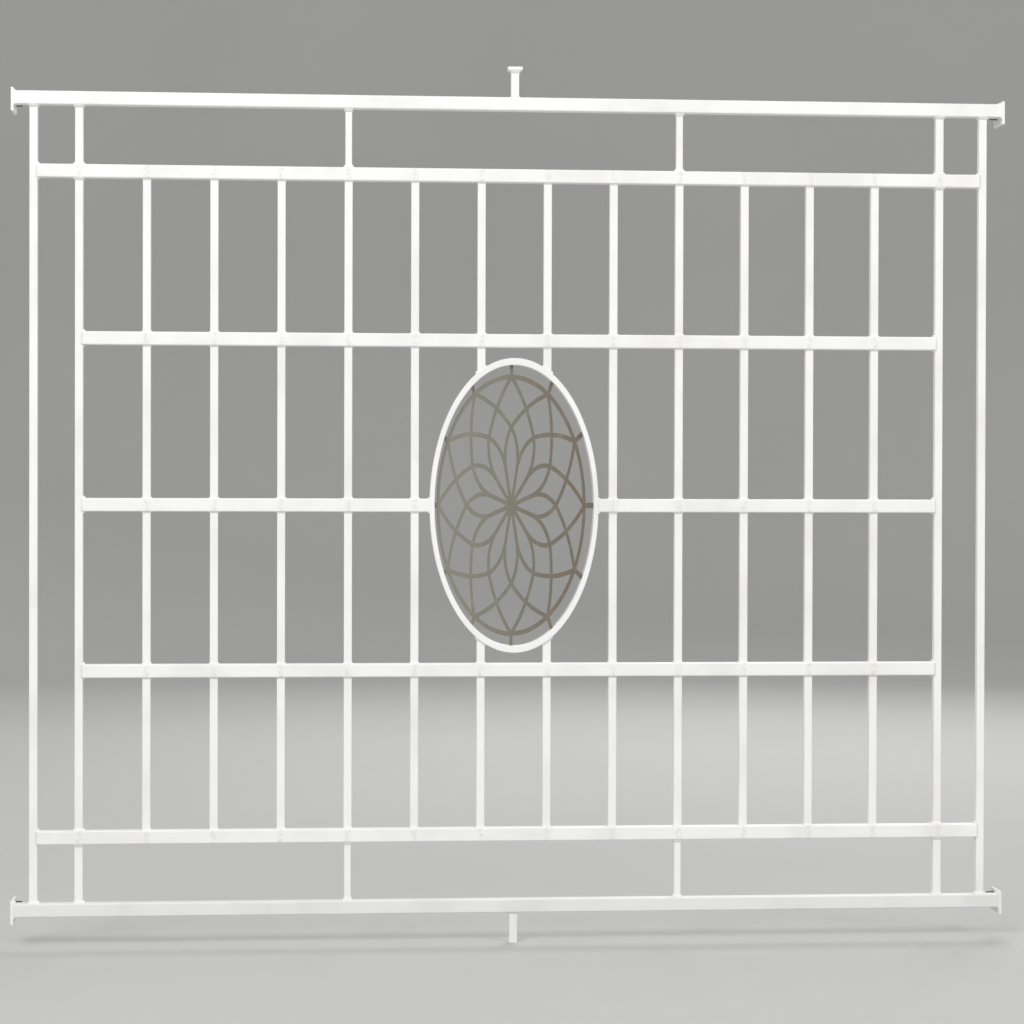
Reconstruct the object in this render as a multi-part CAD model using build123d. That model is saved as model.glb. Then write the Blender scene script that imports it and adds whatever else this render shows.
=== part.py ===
from build123d import *
import os

# Welded window grille for a recessed opening. Millimetres, +Z up, X across the window,
# Y through it. The front faces -Y and the origin is the centre of the overall box.

# --- driving dimensions ---------------------------------------------------------------
opening_width = 1500.0       # between the two side walls of the recess
opening_height = 1320.0      # between the lintel and the sill
head_gap = 46.0              # lintel to the top rail, and bottom rail to the sill
wall_gap = 33.0              # side wall to the middle of the outer upright
edge_pitch = 67.0            # outer upright to inner upright
band_pitch = 108.0           # top or bottom rail to its band rail
bar_count = 12               # vertical bars between the inner uprights
post_bar = 4                 # the posts stand over this bar, counted from each side

rail_size = 20.0             # square tube of the rails
rail_wall = 1.5
rail_corner = 2.0            # outside corner radius of the tube
bar_size = 12.0              # square bar of the uprights and vertical bars
bar_corner = 1.0             # rolled corner radius of the bar
post_size = 10.0             # square bar of the posts
bar_clearance = 0.2          # each side, where a bar runs through a rail

ring_gap_side = 16.5         # oval ring to the bar beside it
ring_gap_end = 16.0          # oval ring to the rail above or below it
ring_side = 7.2              # thickness of the ring at its sides
ring_crown = 10.4            # thickness at its top and bottom
ring_depth = 20.0
ring_edge = 0.8              # rounding of the ring's edges

rosette_gap_side = 9.6       # rim centre line to the inside of the ring, at the sides
rosette_gap_end = 18.0       # the same at the top and bottom
rosette_sheet = 3.0
rosette_points = 12
rosette_shift = -4.0         # the panel hangs a little left of the ring's middle
rim_stroke = 4.2             # stroke widths, measured across the oval's narrow way
petal_stroke = 4.0
tab_stroke = 4.6
hub_radius = 8.5

plate_height = 35.0          # wall plates at the rail ends
plate_depth = 50.0
plate_thick = 4.0
plate_edge = 0.8             # rounding of the plates' edges
plate_drop = 3.0             # middle of a plate below the middle of its rail

anchor_size = 10.0           # M10 expansion anchors
anchor_clearance = 0.25      # each side, in the plate and the washer
thread_gap = 0.1             # each side, between the nut's bore and the stud
anchor_tip = 6.0             # stud end beyond the nut
anchor_chamfer = 1.0
washer_diameter = 20.0
washer_thick = 2.0
nut_flats = 17.0
nut_height = 8.0
nut_chamfer = 1.2

stud_size = 12.0             # studs to the lintel and the sill
head_plate_width = 22.0
head_plate_depth = 20.0
head_plate_thick = 5.0

# The side of a petal, as (share of the rim's radius, degrees from the petal's rim point).
petal_rim = (1.0, 0)
petal_first_crossing = (0.78, 15)
petal_second_crossing = (0.61, 30)
petal_root = (0.29, 45)

# --- places worked out from them ------------------------------------------------------
half_rail = rail_size / 2
half_bar = bar_size / 2
front_y = -plate_depth / 2
rail_y = front_y + half_rail
ring_y = front_y + ring_depth / 2
head_plate_y = front_y + head_plate_depth / 2
plate_inner_x = opening_width / 2 - plate_thick
outer_x = opening_width / 2 - wall_gap
inner_x = outer_x - edge_pitch
bar_pitch = 2 * inner_x / (bar_count + 1)
bar_x = [(i - (bar_count - 1) / 2) * bar_pitch for i in range(bar_count)]
end_z = opening_height / 2 - head_gap - half_rail
band_z = end_z - band_pitch
cross_z = band_z / 2
hole_size = bar_size + 2 * bar_clearance
half_ring_x = 1.5 * bar_pitch - half_bar - ring_gap_side
half_ring_z = cross_z - half_rail - ring_gap_end
half_eye_x = half_ring_x - ring_side
half_eye_z = half_ring_z - ring_crown
anchor_y = (rail_y + half_rail + plate_depth / 2) / 2
anchor_hole = anchor_size + 2 * anchor_clearance


def write(shape, name):
    export_step(shape, f"parts/{name}.step")


def upright(x, low, high, size=bar_size):
    """A square bar standing at x, from low to high."""
    section = Pos(x, rail_y, low) * RectangleRounded(size, size, bar_corner)
    return extrude(section, high - low)


def rail(left, right, z, crossed_by=()):
    """A square tube from left to right, with a square hole for each bar that crosses it."""
    plane = Plane(origin=(left, rail_y, z), x_dir=(0, 1, 0), z_dir=(1, 0, 0))
    inside = rail_size - 2 * rail_wall
    section = RectangleRounded(rail_size, rail_size, rail_corner)
    section -= RectangleRounded(inside, inside, rail_corner - rail_wall)
    tube = extrude(plane * section, right - left)
    for x in crossed_by:
        tube -= Pos(x, rail_y, z) * Box(hole_size, hole_size, 2 * rail_size)
    return tube


def oval_prism(half_x, half_z, depth):
    """An elliptical prism through the grille, centred on the ring."""
    plane = Plane(origin=(0, ring_y, 0), x_dir=(1, 0, 0), z_dir=(0, -1, 0))
    return extrude(plane * Ellipse(half_x, half_z), depth / 2, both=True)


def make_rails():
    write(rail(-plate_inner_x, plate_inner_x, end_z), "top_rail")
    write(rail(-plate_inner_x, plate_inner_x, -end_z), "bottom_rail")

    reach = outer_x - half_bar
    write(rail(-reach, reach, band_z, (-inner_x, inner_x)), "upper_band_rail")
    write(rail(-reach, reach, -band_z, (-inner_x, inner_x)), "lower_band_rail")

    reach = inner_x - half_bar
    write(rail(-reach, reach, cross_z, bar_x), "upper_cross_rail")
    write(rail(-reach, reach, -cross_z, bar_x), "lower_cross_rail")

    ring = oval_prism(half_ring_x, half_ring_z, 2 * rail_size)
    left_bars = [x for x in bar_x if x < -half_ring_x]
    right_bars = [x for x in bar_x if x > half_ring_x]
    write(rail(-reach, -half_eye_x, 0, left_bars) - ring, "middle_rail_left")
    write(rail(half_eye_x, reach, 0, right_bars) - ring, "middle_rail_right")


def make_uprights():
    top = end_z - half_rail
    for side, name in ((-1, "left"), (1, "right")):
        write(upright(side * outer_x, -top, top), f"outer_upright_{name}")
        write(upright(side * inner_x, -top, top), f"inner_upright_{name}")


def make_bars():
    """Bars clear of the ring run whole; the others are cut to its curve, above and below."""
    top = band_z - half_rail
    ring = oval_prism(half_ring_x, half_ring_z, 2 * bar_size)
    for number, x in enumerate(bar_x, start=1):
        name = f"vertical_bar_{number:02d}"
        if abs(x) - half_bar >= half_ring_x:
            write(upright(x, -top, top), name)
        else:
            write(upright(x, 0, top) - ring, f"{name}_upper")
            write(upright(x, -top, 0) - ring, f"{name}_lower")


def make_posts():
    """Short posts that tie each band rail to the top or bottom rail."""
    low = band_z + half_rail
    high = end_z - half_rail
    post_x = bar_x[post_bar - 1]
    for x, side in ((post_x, "left"), (-post_x, "right")):
        write(upright(x, low, high, post_size), f"upper_post_{side}")
        write(upright(x, -high, -low, post_size), f"lower_post_{side}")


def make_ring():
    eye = oval_prism(half_eye_x, half_eye_z, 2 * ring_depth)
    ring = oval_prism(half_ring_x, half_ring_z, ring_depth) - eye
    write(fillet(ring.edges(), ring_edge), "oval_ring")


def petal_side(radius):
    """One side of a petal, from the rim to where it runs into the outer end of a spoke."""
    def point(place):
        share, degrees = place
        return Vector(share * radius, 0).rotate(Axis.Z, degrees)

    root = point(petal_root)
    crossing = point(petal_second_crossing)
    outer = ThreePointArc(point(petal_rim), point(petal_first_crossing), crossing)
    inner = TangentArc(root, crossing, tangent=root)
    return SlotArc(outer, petal_stroke) + SlotArc(inner, petal_stroke)


def rosette_pattern(radius):
    """The rosette drawn round: rim, petals, spokes, hub and tabs."""
    step = 360 / rosette_points
    spoke = petal_root[0] * radius
    spoke_bar = SlotOverall(spoke + petal_stroke, petal_stroke)
    tab = Rectangle(2 * rosette_gap_side, tab_stroke)
    side = petal_side(radius)
    pattern = Circle(radius + rim_stroke / 2) - Circle(radius - rim_stroke / 2)
    pattern += Circle(hub_radius)
    for i in range(rosette_points):
        turn = Rot(0, 0, i * step)
        half_turn = Rot(0, 0, (i + 0.5) * step)
        pattern += turn * side
        pattern += turn * mirror(side, Plane.XZ)
        pattern += half_turn * Pos(spoke / 2, 0) * spoke_bar
        pattern += turn * Pos(radius + rosette_gap_side, 0) * tab
    return pattern


def make_rosette():
    """Cut from sheet, stretched to an oval, and trimmed where its tabs meet the ring."""
    half_width = half_eye_x - rosette_gap_side
    half_height = half_eye_z - rosette_gap_end
    sheet = extrude(rosette_pattern(half_width), rosette_sheet / 2, both=True)
    sheet = scale(sheet, by=(1, half_height / half_width, 1))
    sheet = Pos(rosette_shift, ring_y, 0) * Rot(90, 0, 0) * sheet
    write(sheet & oval_prism(half_eye_x, half_eye_z, ring_depth), "rosette_panel")


def wall_ends():
    """Side (-1 left, 1 right), height and name of each of the four wall plates."""
    for side, side_name in ((-1, "left"), (1, "right")):
        for z, level in ((end_z, "top"), (-end_z, "bottom")):
            yield side, z, f"{level}_{side_name}"


def make_wall_plates():
    x = plate_inner_x + plate_thick / 2
    hole = Rot(0, 90, 0) * Cylinder(anchor_hole / 2, 2 * plate_thick)
    for side, z, name in wall_ends():
        plate = Pos(side * x, 0, z - plate_drop) * Box(plate_thick, plate_depth, plate_height)
        plate = fillet(plate.edges(), plate_edge)
        write(plate - Pos(side * x, anchor_y, z) * hole, f"wall_plate_{name}")


def anchor_stud(length):
    stud = extrude(Circle(anchor_size / 2), length)
    return chamfer(stud.edges().sort_by(Axis.Z)[-1], anchor_chamfer)


def anchor_washer():
    washer = Circle(washer_diameter / 2) - Circle(anchor_hole / 2)
    return extrude(washer, washer_thick)


def anchor_nut():
    """A hexagon nut with its corners turned off at both ends."""
    hexagon = RegularPolygon(nut_flats / 2, 6, major_radius=False)
    corner = hexagon.vertices()[0].distance_to((0, 0, 0))
    turned = extrude(Circle(corner), nut_height)
    turned = chamfer(turned.edges(), nut_chamfer / 2, nut_chamfer)
    bore = Circle(anchor_size / 2 + thread_gap)
    return (extrude(hexagon, nut_height) & turned) - extrude(bore, nut_height)


def make_anchors():
    """Each anchor is built along +Z from the wall and laid over to point into the window."""
    nut_seat = plate_thick + washer_thick
    stud = anchor_stud(nut_seat + nut_height + anchor_tip)
    washer = Pos(0, 0, plate_thick) * anchor_washer()
    nut = Pos(0, 0, nut_seat) * anchor_nut()
    kinds = (("anchor_studs", stud), ("anchor_washers", washer), ("anchor_nuts", nut))
    for name, piece in kinds:
        placed = []
        for side, z, _ in wall_ends():
            wall = Pos(side * opening_width / 2, anchor_y, z)
            placed.append(wall * Rot(0, -side * 90, 0) * piece)
        write(Compound(children=placed), name)


def make_studs():
    rail_face = end_z + half_rail
    lintel = opening_height / 2
    plate_low = lintel - head_plate_thick
    plate = Box(head_plate_width, head_plate_depth, head_plate_thick)
    plate = fillet(plate.edges(), plate_edge)
    write(upright(0, rail_face, plate_low, stud_size), "head_stud")
    write(Pos(0, head_plate_y, plate_low + head_plate_thick / 2) * plate, "head_plate")
    write(upright(0, -lintel, -rail_face, stud_size), "sill_stud")


os.makedirs("parts", exist_ok=True)
make_rails()
make_uprights()
make_bars()
make_posts()
make_ring()
make_rosette()
make_wall_plates()
make_anchors()
make_studs()
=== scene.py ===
import math
import bmesh
import bpy
from mathutils import Matrix, Vector


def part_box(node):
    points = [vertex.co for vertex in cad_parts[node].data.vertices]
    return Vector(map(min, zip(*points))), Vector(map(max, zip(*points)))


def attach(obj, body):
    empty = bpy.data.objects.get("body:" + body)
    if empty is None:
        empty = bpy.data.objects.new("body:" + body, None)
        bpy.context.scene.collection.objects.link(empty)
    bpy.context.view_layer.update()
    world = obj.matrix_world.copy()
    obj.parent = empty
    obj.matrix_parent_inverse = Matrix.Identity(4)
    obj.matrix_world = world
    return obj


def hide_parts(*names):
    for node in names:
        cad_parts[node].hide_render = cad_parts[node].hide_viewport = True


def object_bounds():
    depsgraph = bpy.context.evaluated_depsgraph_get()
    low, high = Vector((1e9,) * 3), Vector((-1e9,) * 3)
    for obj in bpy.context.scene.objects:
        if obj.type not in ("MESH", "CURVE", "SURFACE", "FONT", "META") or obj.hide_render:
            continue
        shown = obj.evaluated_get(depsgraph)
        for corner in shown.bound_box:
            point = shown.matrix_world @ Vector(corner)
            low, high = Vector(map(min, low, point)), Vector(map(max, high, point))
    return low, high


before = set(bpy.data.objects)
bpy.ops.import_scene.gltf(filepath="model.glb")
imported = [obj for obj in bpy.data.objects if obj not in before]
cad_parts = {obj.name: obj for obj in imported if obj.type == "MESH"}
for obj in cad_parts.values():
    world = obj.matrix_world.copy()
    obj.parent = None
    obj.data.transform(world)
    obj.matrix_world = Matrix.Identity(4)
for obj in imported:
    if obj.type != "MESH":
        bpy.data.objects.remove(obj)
cad_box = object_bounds()

MM = 0.001

# --- places read from the frame ---------------------------------------------------------
RAILS = ("top_rail", "upper_band_rail", "upper_cross_rail", "middle_rail_left",
         "middle_rail_right", "lower_cross_rail", "lower_band_rail", "bottom_rail")
PLUGGED_RAILS = RAILS[2:6]   # the cross and middle rails, with plug welds on their fronts
WHOLE_BARS = [f"vertical_bar_{n:02d}" for n in (1, 2, 3, 4, 5, 8, 9, 10, 11, 12)]
CUT_BARS = [f"vertical_bar_{n:02d}_{end}" for n in (6, 7) for end in ("upper", "lower")]
INNER = ("inner_upright_left", "inner_upright_right")
OUTER = ("outer_upright_left", "outer_upright_right")
POSTS = [f"{level}_post_{side}" for level in ("upper", "lower") for side in ("left", "right")]
PLATES = [f"wall_plate_{level}_{side}" for level in ("top", "bottom") for side in ("left", "right")]
ZINC = ("anchor_studs", "anchor_washers", "anchor_nuts")


def middle(node):
    low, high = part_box(node)
    return (low + high) / 2


def size(node):
    low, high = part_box(node)
    return high - low


GRILLE_Y = middle("top_rail").y
FRONT_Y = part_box("top_rail")[0].y
HALF_RAIL = size("top_rail").z / 2
BAR = size("vertical_bar_01").x
POST = size("upper_post_left").x
BAR_X = [middle(bar).x for bar in WHOLE_BARS] + [middle(bar).x for bar in CUT_BARS[::2]]
BAR_PITCH = middle("vertical_bar_02").x - middle("vertical_bar_01").x

# --- sizes that the frame's boxes don't say ---------------------------------------------
RING_CROWN = 10.4 * MM             # thickness of the oval ring at its top and bottom
ROSETTE_GAP = (9.6 * MM, 18 * MM)  # rosette's rim to the inside of the ring: sides, ends
ROSETTE_SHIFT = -4 * MM            # the rosette hangs a little left of the ring's middle
ROSETTE_TABS = 12
STUD_REACH = 20 * MM               # an anchor stud's end from the wall

# --- sizes of the welds -----------------------------------------------------------------
# A collar's leg along the face it stands on, and its rise up the bar.
BAR_COLLAR = (2.2 * MM, 2.7 * MM)
UPRIGHT_COLLAR = (3.6 * MM, 4.6 * MM)
POST_COLLAR = (3.4 * MM, 5.5 * MM)
HEAD_COLLAR = (3.3 * MM, 5 * MM)
COLLAR_SUNK = 0.4 * MM             # how far a collar's foot is inside the rail
HEAD_COLLAR_SUNK = 0.3 * MM
# Radii of the upright and of the level beads round a rail's end.
UPRIGHT_BEADS = (2.3 * MM, 3.4 * MM)
WALL_BEADS = (2.6 * MM, 2.6 * MM)
# Radii of the beads on the oval ring.
RING_BEAD_ACROSS = 3 * MM
RING_BEAD_ALONG = 2.2 * MM
RING_BEAD_RAIL = 2.4 * MM
RAIL_BEAD_SHORTER = 3 * MM         # how much shorter than the rail's depth that bead is
TACK = 2.4 * MM
PLUG = (11 * MM, 17 * MM, 0.4 * MM)  # width, height and rise
WELD_LUMPS = 3 * MM                # size and height of the lumps in a weld's surface
WELD_ROUGHNESS = 0.35 * MM
GROUND_ROUGHNESS = 0.12 * MM
SMOOTH_BELOW = math.radians(50)    # edges that turn by less than this are shaded smooth


# --- shader arithmetic ------------------------------------------------------------------
class Wire:
    """A number or colour socket. Plain arithmetic on it adds Math nodes."""

    def __init__(self, finish, socket):
        self.finish = finish
        self.socket = socket

    def math(self, operation, first, second=0.0):
        return self.finish.node("ShaderNodeMath", {"operation": operation}, {0: first, 1: second})

    def __add__(self, other):
        return self.math("ADD", self, other)

    def __mul__(self, other):
        return self.math("MULTIPLY", self, other)

    def __sub__(self, other):
        return self.math("SUBTRACT", self, other)

    def __rsub__(self, other):
        return self.math("SUBTRACT", other, self)

    def __truediv__(self, other):
        return self.math("DIVIDE", self, other)

    def __abs__(self):
        return self.math("ABSOLUTE", self)

    def fraction(self):
        return self.math("FRACT", self)

    __radd__ = __add__


class Finish:
    """A material, with the few kinds of node that the finishes here are made of."""

    def __init__(self, name):
        self.material = bpy.data.materials.new(name)
        self.material.use_nodes = True
        self.tree = self.material.node_tree
        self.shader = self.tree.nodes["Principled BSDF"]
        self.place = self.node("ShaderNodeTexCoord", output="Object")

    def node(self, kind, settings=None, inputs=None, output=0):
        made = self.tree.nodes.new(kind)
        for key, value in (settings or {}).items():
            setattr(made, key, value)
        for key, value in (inputs or {}).items():
            if isinstance(value, Wire):
                self.tree.links.new(value.socket, made.inputs[key])
            else:
                made.inputs[key].default_value = value
        return Wire(self, made.outputs[output])

    def feed(self, socket, value):
        if isinstance(value, Wire):
            self.tree.links.new(value.socket, self.shader.inputs[socket])
        else:
            self.shader.inputs[socket].default_value = value

    def noise(self, cell, detail=2.0, stretch=(1, 1, 1)):
        """Noise whose lumps are about cell metres across, drawn out by stretch."""
        scale = [1 / (cell * s) for s in stretch]
        where = self.node("ShaderNodeMapping", inputs={"Vector": self.place, "Scale": scale})
        return self.node("ShaderNodeTexNoise",
                         inputs={"Vector": where, "Scale": 1.0, "Detail": detail})

    def step(self, value, low, high):
        """0 below low, 1 above high, smooth between."""
        return self.node("ShaderNodeMapRange", {"interpolation_type": "SMOOTHSTEP"},
                         {"Value": value, "From Min": low, "From Max": high})

    def mix(self, factor, first, second):
        return self.node("ShaderNodeMix", {"data_type": "RGBA"},
                         {0: factor, 6: first, 7: second}, output=2)

    def axis(self, name):
        return self.node("ShaderNodeSeparateXYZ", inputs={0: self.place}, output=name)

    def bump(self, height, depth):
        self.feed("Normal", self.node("ShaderNodeBump", inputs={"Distance": depth, "Height": height},
                                      output="Normal"))


# --- finishes ---------------------------------------------------------------------------
def rgb(red, green, blue):
    return (red, green, blue, 1.0)


def crossings(paint):
    """1 over each bar that runs through a rail, fading out with a ragged edge."""
    inner_edge = 3 * MM
    outer_edge = 10 * MM
    raggedness = 6 * MM
    from_bar = abs((paint.axis("X") / BAR_PITCH).fraction() - 0.5) * BAR_PITCH
    ragged = paint.noise(4 * MM, detail=3.0) * raggedness
    return 1 - paint.step(from_bar + ragged, inner_edge, outer_edge)


def white_paint(name, along, tone=1.0, touched_up=False):
    """Brushed satin enamel over mill steel, with the brush marks lying along the piece.
    Where a plug weld was ground flush, a touched_up rail is a little grey and dull."""
    paint = Finish(name)
    # A tone below 1 darkens the whole enamel; it is used only as painted shade on the bottom rail.
    clean = rgb(0.93 * tone, 0.93 * tone, 0.92 * tone)
    thin = rgb(0.86 * tone, 0.855 * tone, 0.835 * tone)
    dust = rgb(0.62, 0.60, 0.55)
    clouds = paint.noise(90 * MM, detail=3.0)
    marks = paint.noise(1.6 * MM, detail=2.0, stretch=along)
    peel = paint.noise(1.1 * MM, detail=1.0)
    up = paint.node("ShaderNodeSeparateXYZ",
                    inputs={0: paint.node("ShaderNodeNewGeometry", output="Normal")}, output="Z")
    settled = paint.step(up, 0.5, 1.0) * paint.step(paint.noise(9 * MM, detail=4.0), 0.35, 0.75)
    colour = paint.mix(paint.step(clouds, 0.42, 0.72), clean, thin)
    roughness = 0.30 + marks * 0.14 + settled * 0.2
    if touched_up:
        ground = crossings(paint) * paint.step(paint.noise(5 * MM, detail=4.0), 0.38, 0.62)
        colour = paint.mix(ground * 0.6, colour, rgb(0.70, 0.695, 0.67))
        roughness = roughness + ground * 0.2
    paint.feed("Base Color", paint.mix(settled * 0.28, colour, dust))
    paint.feed("Roughness", roughness)
    paint.bump(marks * 0.6 + peel * 0.4, 0.05 * MM)
    return paint.material


def weld_paint():
    """The same enamel on weld metal: duller, and grey where it is thin on the ripples."""
    paint = Finish("painted_weld")
    grain = paint.noise(1.4 * MM, detail=4.0)
    colour = paint.mix(paint.step(grain, 0.45, 0.70), rgb(0.90, 0.90, 0.885), rgb(0.77, 0.765, 0.74))
    paint.feed("Base Color", colour)
    paint.feed("Roughness", 0.38 + grain * 0.25)
    paint.bump(grain, 0.12 * MM)
    return paint.material


def taupe_paint():
    """Satin enamel on the rosette, with a painted reflection: grey-green on its left, turning taupe to
    the right.
    """
    paint = Finish("taupe_enamel")
    half = size("rosette_panel").x / 2
    # Painted reflection: the blend from grey-green on the left to taupe on the right stands in for the
    # surroundings mirrored in the satin enamel.
    across = paint.step(paint.axis("X"), -half, half)
    mottle = paint.noise(14 * MM, detail=4.0)
    grit = paint.noise(0.8 * MM, detail=2.0)
    colour = paint.mix(across, rgb(0.225, 0.225, 0.185), rgb(0.165, 0.137, 0.103))
    rubbed = paint.step(mottle, 0.50, 0.78) * 0.35
    paint.feed("Base Color", paint.mix(rubbed, colour, rgb(0.29, 0.275, 0.235)))
    paint.feed("Roughness", 0.36 + grit * 0.18)
    paint.bump(grit, 0.05 * MM)
    return paint.material


def dark_zinc():
    """Dull zinc on the anchors, made near-black: partly the dark zinc of the bolts, partly painted
    shade of the corner behind the rail; with pale scuffs from the spanner.
    """
    zinc = Finish("dark_zinc_and_painted_shade")
    bloom = zinc.noise(2.6 * MM, detail=5.0)
    scuff = zinc.step(zinc.noise(0.7 * MM, detail=2.0, stretch=(5, 1, 1)), 0.66, 0.76)
    # Near-black to dark grey: dark zinc together with painted shade of the corner behind the rail.
    colour = zinc.mix(zinc.step(bloom, 0.35, 0.70), rgb(0.10, 0.10, 0.10), rgb(0.22, 0.215, 0.20))
    zinc.feed("Base Color", zinc.mix(scuff * 0.6, colour, rgb(0.42, 0.42, 0.41)))
    zinc.feed("Metallic", 0.85)
    zinc.feed("Roughness", 0.62 - bloom * 0.25)
    zinc.bump(bloom, 0.06 * MM)
    return zinc.material


def studio_card():
    card = Finish("studio_card")
    tone = card.noise(0.9, detail=2.0)
    card.feed("Base Color", card.mix(tone, rgb(0.50, 0.50, 0.49), rgb(0.54, 0.54, 0.53)))
    card.feed("Roughness", 0.85)
    return card.material


# --- modelling by hand ------------------------------------------------------------------
def deselect():
    bpy.ops.object.select_all(action="DESELECT")


def settle(piece):
    """Puts a new primitive's place and size into its mesh, and opens it for editing."""
    bpy.ops.object.transform_apply(location=True, rotation=True, scale=True)
    bpy.ops.object.mode_set(mode="EDIT")
    return piece


def pick(piece, kind, wanted):
    """Selects the faces or edges of the open piece that wanted(element) accepts."""
    bpy.ops.mesh.select_all(action="DESELECT")
    bpy.ops.mesh.select_mode(type=kind)
    mesh = bmesh.from_edit_mesh(piece.data)
    for element in (mesh.faces if kind == "FACE" else mesh.edges):
        if wanted(element):
            element.select_set(True)
    mesh.select_flush_mode()
    bmesh.update_edit_mesh(piece.data)


def close(piece):
    bpy.ops.mesh.select_all(action="SELECT")
    bpy.ops.mesh.normals_make_consistent(inside=False)
    bpy.ops.object.mode_set(mode="OBJECT")
    return piece


def apply(piece, kind, **settings):
    deselect()
    piece.select_set(True)
    bpy.context.view_layer.objects.active = piece
    modifier = piece.modifiers.new(kind.title(), kind)
    for key, value in settings.items():
        setattr(modifier, key, value)
    bpy.ops.object.modifier_apply(modifier=modifier.name)


def spanned(edge, axis):
    """How far an edge reaches along an axis."""
    start, end = edge.verts
    return abs(end.co[axis] - start.co[axis])


def collar(bar, leg, rise):
    """Weld metal around a square bar where it enters a face, standing on z = 0."""
    foot = bar + 2 * leg
    deselect()
    bpy.ops.mesh.primitive_cube_add(size=1, location=(0, 0, rise / 2), scale=(foot, foot, rise))
    piece = settle(bpy.context.object)
    pick(piece, "FACE", lambda face: face.normal.z > 0.9)
    bpy.ops.transform.resize(value=(bar / foot, bar / foot, 1))
    pick(piece, "EDGE", lambda edge: spanned(edge, 2) > rise / 2)
    bpy.ops.mesh.bevel(offset=0.9 * leg, segments=3)
    bpy.ops.mesh.select_all(action="SELECT")
    bpy.ops.mesh.subdivide(number_cuts=3, smoothness=0.4)
    return close(piece)


def ribbed_rod(length, radius, pitch, waist, sides):
    """A round rod along X, nipped in to waist times its radius once each pitch. Stays open."""
    deselect()
    bpy.ops.mesh.primitive_cylinder_add(vertices=sides, radius=radius, depth=length,
                                        rotation=(0, math.pi / 2, 0))
    piece = settle(bpy.context.object)
    pick(piece, "EDGE", lambda edge: spanned(edge, 0) > length / 2)
    bpy.ops.mesh.subdivide(number_cuts=2 * max(2, round(length / pitch)) - 1)
    rings = sorted({round(v.co.x, 6) for v in bmesh.from_edit_mesh(piece.data).verts})
    valleys = set(rings[2:-1:2])
    pick(piece, "EDGE", lambda edge: all(round(v.co.x, 6) in valleys for v in edge.verts))
    bpy.ops.transform.resize(value=(1, waist, waist))
    return piece


def taper_end(piece, end, inset, reach):
    """Draws one end of an open rod, -1 or 1 along X, out into a taper."""
    pick(piece, "FACE", lambda face: face.normal.x * end > 0.9)
    bpy.ops.mesh.inset(thickness=inset)
    bpy.ops.transform.translate(value=(end * reach, 0, 0))


def bead(length, radius):
    """A run of weld along X, centred on the seam, rippled and rounded off at both ends."""
    piece = ribbed_rod(length, radius, pitch=1.8 * MM, waist=0.93, sides=10)
    for end in (-1, 1):
        taper_end(piece, end, inset=0.4 * radius, reach=0.5 * radius)
    return close(piece)


def threaded_stud(length, radius):
    """A stud along X, ribbed for its M10 thread, from the wall at x = 0 to a chamfered tip."""
    chamfer = 1 * MM
    piece = ribbed_rod(length - chamfer, radius, pitch=1.5 * MM, waist=0.86, sides=24)
    taper_end(piece, 1, inset=chamfer, reach=chamfer)
    bpy.ops.mesh.select_all(action="SELECT")
    bpy.ops.transform.translate(value=((length - chamfer) / 2, 0, 0))
    return close(piece)


def plug(width, height, rise):
    """A low ground mound on a face that looks along -Y, its rim barely clear of the face."""
    rim = 0.15 * rise
    deselect()
    bpy.ops.mesh.primitive_cylinder_add(vertices=24, radius=0.5, depth=1,
                                        location=(0, rise / 2 - rim, 0), rotation=(math.pi / 2, 0, 0),
                                        scale=(width, height, rise))
    piece = settle(bpy.context.object)
    pick(piece, "FACE", lambda face: face.normal.y < -0.9)
    for share, lift in ((0.7, 0.6), (0.5, 0.25)):
        bpy.ops.mesh.inset(thickness=0.04 * width)
        bpy.ops.transform.resize(value=(share, 1, share))
        bpy.ops.transform.translate(value=(0, -lift * rise, 0))
    bpy.ops.mesh.poke()
    return close(piece)


def dab(radius):
    """A small drop of weld, flattened through the panel."""
    deselect()
    bpy.ops.mesh.primitive_uv_sphere_add(segments=14, ring_count=8, radius=radius)
    piece = settle(bpy.context.object)
    bpy.ops.transform.resize(value=(1, 0.7, 1.2))
    return close(piece)


def join(parts):
    """Joins parts into the first of them, and leaves it selected."""
    deselect()
    for part in parts:
        part.select_set(True)
    bpy.context.view_layer.objects.active = parts[0]
    bpy.ops.object.join()
    return parts[0]


def gather(name, parts, material, roughness=WELD_ROUGHNESS):
    """Joins copies into one named piece, roughens them and gives them their finish."""
    piece = join(parts)
    piece.name = name
    piece.data.name = name
    if roughness:
        clouds = bpy.data.textures.new(name, "CLOUDS")
        clouds.noise_scale = WELD_LUMPS
        apply(piece, "DISPLACE", texture=clouds, texture_coords="LOCAL", strength=roughness,
              mid_level=0.5)
    bpy.ops.object.shade_smooth_by_angle(angle=SMOOTH_BELOW)
    piece.data.materials.clear()
    piece.data.materials.append(material)
    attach(piece, "root")
    return piece


def copy_at(master, place):
    """A copy of a finished shape with its own mesh, put in place by a matrix."""
    made = bpy.data.objects.new(master.name, master.data.copy())
    made.data.transform(place)
    bpy.context.collection.objects.link(made)
    return made


def discard(*masters):
    """Removes shapes that were only made to be copied."""
    for master in masters:
        bpy.data.objects.remove(master)


def at(x, y, z):
    return Matrix.Translation((x, y, z))


def turned(degrees, axis):
    return Matrix.Rotation(math.radians(degrees), 4, axis)


# --- welds ------------------------------------------------------------------------------
def collars_on(rail, master, bars, above=True, below=True):
    """Collars where bars meet the top and underside of a rail."""
    low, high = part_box(rail)
    made = []
    for x in bars:
        if above:
            made.append(copy_at(master, at(x, GRILLE_Y, high.z - COLLAR_SUNK)))
        if below:
            made.append(copy_at(master, at(x, GRILLE_Y, low.z + COLLAR_SUNK) @ turned(180, "X")))
    return made


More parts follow.
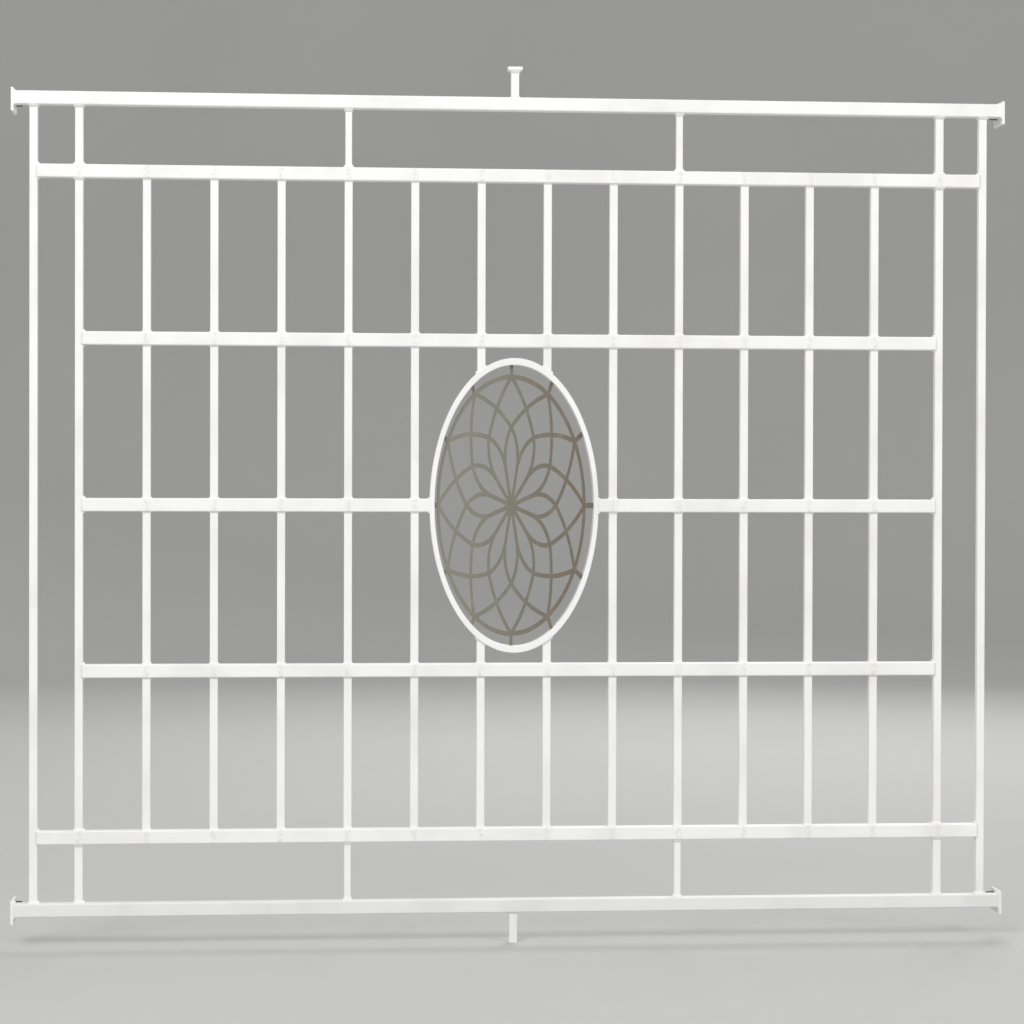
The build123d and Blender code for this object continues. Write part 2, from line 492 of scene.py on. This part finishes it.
def end_loop(width, height, upright_radius, level_radius, faces=(-1, 1)):
    """Beads round a rail's end: upright ones on the faces given, front -1 and back 1, and level
    ones over and under it."""
    upright_bead = bead(height - upright_radius, upright_radius)
    level_bead = bead(width - level_radius, level_radius)
    runs = []
    for side in faces:
        runs.append(copy_at(upright_bead, at(0, side * width / 2, 0) @ turned(90, "Y")))
    for side in (-1, 1):
        runs.append(copy_at(level_bead, at(0, 0, side * height / 2) @ turned(90, "Z")))
    discard(upright_bead, level_bead)
    return join(runs)


def rail_welds():
    """Everything that holds bars, uprights, posts and studs to each rail."""
    bar_collar = collar(BAR, *BAR_COLLAR)
    upright_collar = collar(BAR, *UPRIGHT_COLLAR)
    post_collar = collar(POST, *POST_COLLAR)
    upright_loop = end_loop(BAR, 2 * HALF_RAIL, *UPRIGHT_BEADS)
    wall_loop = end_loop(2 * HALF_RAIL, 2 * HALF_RAIL, *WALL_BEADS, faces=(1,))
    inner_x = [middle(node).x for node in INNER]
    outer_x = [middle(node).x for node in OUTER]
    post_x = [middle(node).x for node in POSTS[:2]]
    weld = weld_paint()
    for rail in RAILS:
        low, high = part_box(rail)
        z = middle(rail).z
        upper = z > 0
        ends = (low.x, high.x)
        made = []
        if rail in ("top_rail", "bottom_rail"):
            made += collars_on(rail, upright_collar, inner_x + outer_x, above=not upper, below=upper)
            made += collars_on(rail, post_collar, post_x, above=not upper, below=upper)
            made += collars_on(rail, bar_collar, [middle("head_stud").x], above=upper, below=not upper)
            made += [copy_at(wall_loop, at(x, GRILLE_Y, z)) for x in ends]
        elif "band" in rail:
            made += collars_on(rail, bar_collar, BAR_X, above=not upper, below=upper)
            made += collars_on(rail, upright_collar, inner_x)
            made += collars_on(rail, post_collar, post_x, above=upper, below=not upper)
            made += [copy_at(upright_loop, at(x, GRILLE_Y, z)) for x in ends]
        elif "cross" in rail:
            made += collars_on(rail, bar_collar, BAR_X)
            made += [copy_at(upright_loop, at(x, GRILLE_Y, z)) for x in ends]
        else:
            made += collars_on(rail, bar_collar, [x for x in BAR_X if low.x < x < high.x])
            outside = max(ends, key=abs)
            made.append(copy_at(upright_loop, at(outside, GRILLE_Y, z)))
        gather(f"welds_{rail}", made, weld)
    discard(bar_collar, upright_collar, post_collar, upright_loop, wall_loop)
    return weld


def head_plate_weld(weld):
    """The flared weld under the head plate."""
    master = collar(size("head_stud").x, *HEAD_COLLAR)
    foot_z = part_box("head_plate")[0].z + HEAD_COLLAR_SUNK
    made = copy_at(master, at(middle("head_stud").x, GRILLE_Y, foot_z) @ turned(180, "X"))
    discard(master)
    gather("weld_head_plate", [made], weld)


def ring_welds(weld):
    """Beads where the cut bars and the middle rails meet the oval ring."""
    half_x, _, half_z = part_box("oval_ring")[1]

    def ring_z(x):
        return half_z * math.sqrt(1 - (x / half_x) ** 2)

    across = bead(BAR, RING_BEAD_ACROSS)
    along = bead(BAR, RING_BEAD_ALONG)
    rail_bead = bead(2 * HALF_RAIL - RAIL_BEAD_SHORTER, RING_BEAD_RAIL)
    made = []
    for x in {round(middle(bar).x, 6) for bar in CUT_BARS}:
        for level in (-1, 1):
            for side in (-1, 1):
                edge = x + side * BAR / 2
                made.append(copy_at(across, at(edge, GRILLE_Y, level * ring_z(edge)) @ turned(90, "Z")))
                z = level * ring_z(x)
                slope = math.degrees(math.atan2(half_z ** 2 * x, half_x ** 2 * z))
                face = at(x, GRILLE_Y + side * BAR / 2, z) @ turned(slope, "Y")
                made.append(copy_at(along, face))
    for side in (-1, 1):
        for level in (-1, 1):
            place = at(side * half_x, GRILLE_Y, level * HALF_RAIL)
            made.append(copy_at(rail_bead, place @ turned(90, "Z")))
    discard(across, along, rail_bead)
    gather("welds_oval_ring", made, weld)


def tab_ends():
    """Where the rosette's tabs meet the ring's inside, going round from the right. The tabs
    fan out evenly on a round pattern, which is then stretched upward to an oval."""
    eye_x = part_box("rosette_panel")[1].x
    eye_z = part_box("oval_ring")[1].z - RING_CROWN
    stretch = (eye_z - ROSETTE_GAP[1]) / (eye_x - ROSETTE_GAP[0])
    for i in range(ROSETTE_TABS):
        angle = 2 * math.pi * i / ROSETTE_TABS
        across = math.cos(angle)
        up = stretch * math.sin(angle)
        square = (across / eye_x) ** 2 + (up / eye_z) ** 2
        half = ROSETTE_SHIFT * across / eye_x ** 2
        rest = (ROSETTE_SHIFT / eye_x) ** 2 - 1
        run = (math.sqrt(half ** 2 - square * rest) - half) / square
        yield ROSETTE_SHIFT + run * across, run * up


def rosette_tacks(finish):
    """A tack of weld at the end of each of the rosette's twelve tabs."""
    master = dab(TACK)
    made = [copy_at(master, at(x, GRILLE_Y, z)) for x, z in tab_ends()]
    discard(master)
    gather("rosette_tacks", made, finish)


def plug_welds(finish):
    """Plug welds ground nearly flush with the rails' front faces, over the bars inside."""
    master = plug(*PLUG)
    for rail in PLUGGED_RAILS:
        low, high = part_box(rail)
        z = middle(rail).z
        made = [copy_at(master, at(x, low.y, z)) for x in BAR_X if low.x < x < high.x]
        gather(f"plug_welds_{rail}", made, finish, roughness=GROUND_ROUGHNESS)
    discard(master)


# --- anchors ----------------------------------------------------------------------------
def anchor_threads(finish):
    """Ribbed studs in the place of the plain ones, one through each wall plate."""
    low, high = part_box("anchor_studs")
    radius = (high.y - low.y) / 2
    y = (low.y + high.y) / 2
    master = threaded_stud(STUD_REACH, radius)
    made = []
    for z in (low.z + radius, high.z - radius):
        made.append(copy_at(master, at(low.x, y, z)))
        made.append(copy_at(master, at(high.x, y, z) @ turned(180, "Z")))
    discard(master)
    studs = gather("threaded_anchor_studs", made, finish, roughness=0)
    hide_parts("anchor_studs")


# --- finishes on the frame's own pieces ---------------------------------------------------
def dress(nodes, material):
    for node in nodes:
        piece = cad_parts[node]
        piece.data.materials.clear()
        piece.data.materials.append(material)


def dress_frame():
    """Gives each of the frame's pieces its finish. Returns those that other pieces share."""
    along_x = (14, 1, 1)
    along_y = (1, 4, 1)
    along_z = (1, 1, 14)
    crossed = white_paint("crossed_rail_enamel", along_x, touched_up=True)
    taupe = taupe_paint()
    zinc = dark_zinc()
    dress(["top_rail"], white_paint("rail_enamel", along_x))
    dress(RAILS[1:-1], crossed)
    # The bottom rail's enamel is a tenth darker: painted shade on the lowest rail.
    dress(["bottom_rail"], white_paint("painted_shade_bottom_rail_enamel", along_x, tone=0.9))
    uprights = [*INNER, *OUTER, *WHOLE_BARS, *CUT_BARS, *POSTS, "head_stud", "sill_stud"]
    dress(uprights, white_paint("bar_enamel", along_z))
    dress(["oval_ring", "head_plate", *PLATES], white_paint("plate_enamel", along_y))
    dress(["rosette_panel"], taupe)
    dress(ZINC, zinc)
    return crossed, taupe, zinc


# --- studio -----------------------------------------------------------------------------
def studio_floor():
    """A round pale floor whose edge sweeps up into a wall, well clear of the grille."""
    radius = 7.0
    height = 4.0
    cove = 1.6
    floor_z = cad_box[0][2]
    deselect()
    bpy.ops.mesh.primitive_circle_add(vertices=96, radius=radius, fill_type="NGON",
                                      location=(0, 0, floor_z))
    sweep = settle(bpy.context.object)
    pick(sweep, "EDGE", lambda edge: True)
    bpy.ops.mesh.extrude_edges_move(TRANSFORM_OT_translate={"value": (0, 0, height)})
    pick(sweep, "EDGE", lambda edge: all(v.co.z < floor_z + 1 * MM for v in edge.verts))
    bpy.ops.mesh.bevel(offset=cove, segments=12)
    bpy.ops.mesh.select_all(action="SELECT")
    bpy.ops.mesh.normals_make_consistent(inside=True)
    bpy.ops.object.mode_set(mode="OBJECT")
    bpy.ops.object.shade_smooth()
    sweep.name = "studio_sweep"
    sweep.data.materials.append(studio_card())


def area_light(name, place, target, width, watts):
    deselect()
    bpy.ops.object.light_add(type="AREA", location=place)
    light = bpy.context.object
    light.name = name
    light.data.size = width
    light.data.energy = watts
    light.visible_camera = False
    light.rotation_euler = (Vector(target) - Vector(place)).to_track_quat("-Z", "Y").to_euler()


def studio_light():
    area_light("key_light", (-2.0, -3.6, 2.4), (0, 0, 0), width=2.2, watts=108)
    area_light("fill_light", (3.0, -3.6, 1.9), (0, 0, -0.1), width=2.2, watts=66)
    area_light("back_light", (1.4, 3.8, 2.6), (0, 0, 0), width=2.4, watts=90)
    world = bpy.data.worlds.new("studio_world")
    world.use_nodes = True
    world.node_tree.nodes["Background"].inputs["Color"].default_value = rgb(1.0, 1.0, 1.0)
    world.node_tree.nodes["Background"].inputs["Strength"].default_value = 0.6
    bpy.context.scene.world = world
    bpy.context.scene.view_settings.view_transform = "Standard"


def camera():
    """Stands a little left of the middle and looks slightly to the right."""
    stand_off = 4.0
    across = -0.332
    up = 0.0307
    yaw = 0.0819
    pitch = -0.0101
    roll = 0.0025
    deselect()
    bpy.ops.object.camera_add(location=(across, FRONT_Y - stand_off, up))
    view = bpy.context.object
    view.name = "camera"
    level = Matrix.Rotation(-yaw, 4, "Z") @ Matrix.Rotation(math.pi / 2 + pitch, 4, "X")
    view.rotation_euler = (level @ Matrix.Rotation(roll, 4, "Z")).to_euler()
    view.data.lens = 93.7
    view.data.sensor_width = 36.0
    bpy.context.scene.camera = view


camera()
studio_light()
studio_floor()
crossed_enamel, taupe_enamel, anchor_zinc = dress_frame()
weld_finish = rail_welds()
head_plate_weld(weld_finish)
ring_welds(weld_finish)
rosette_tacks(taupe_enamel)
plug_welds(crossed_enamel)
anchor_threads(anchor_zinc)
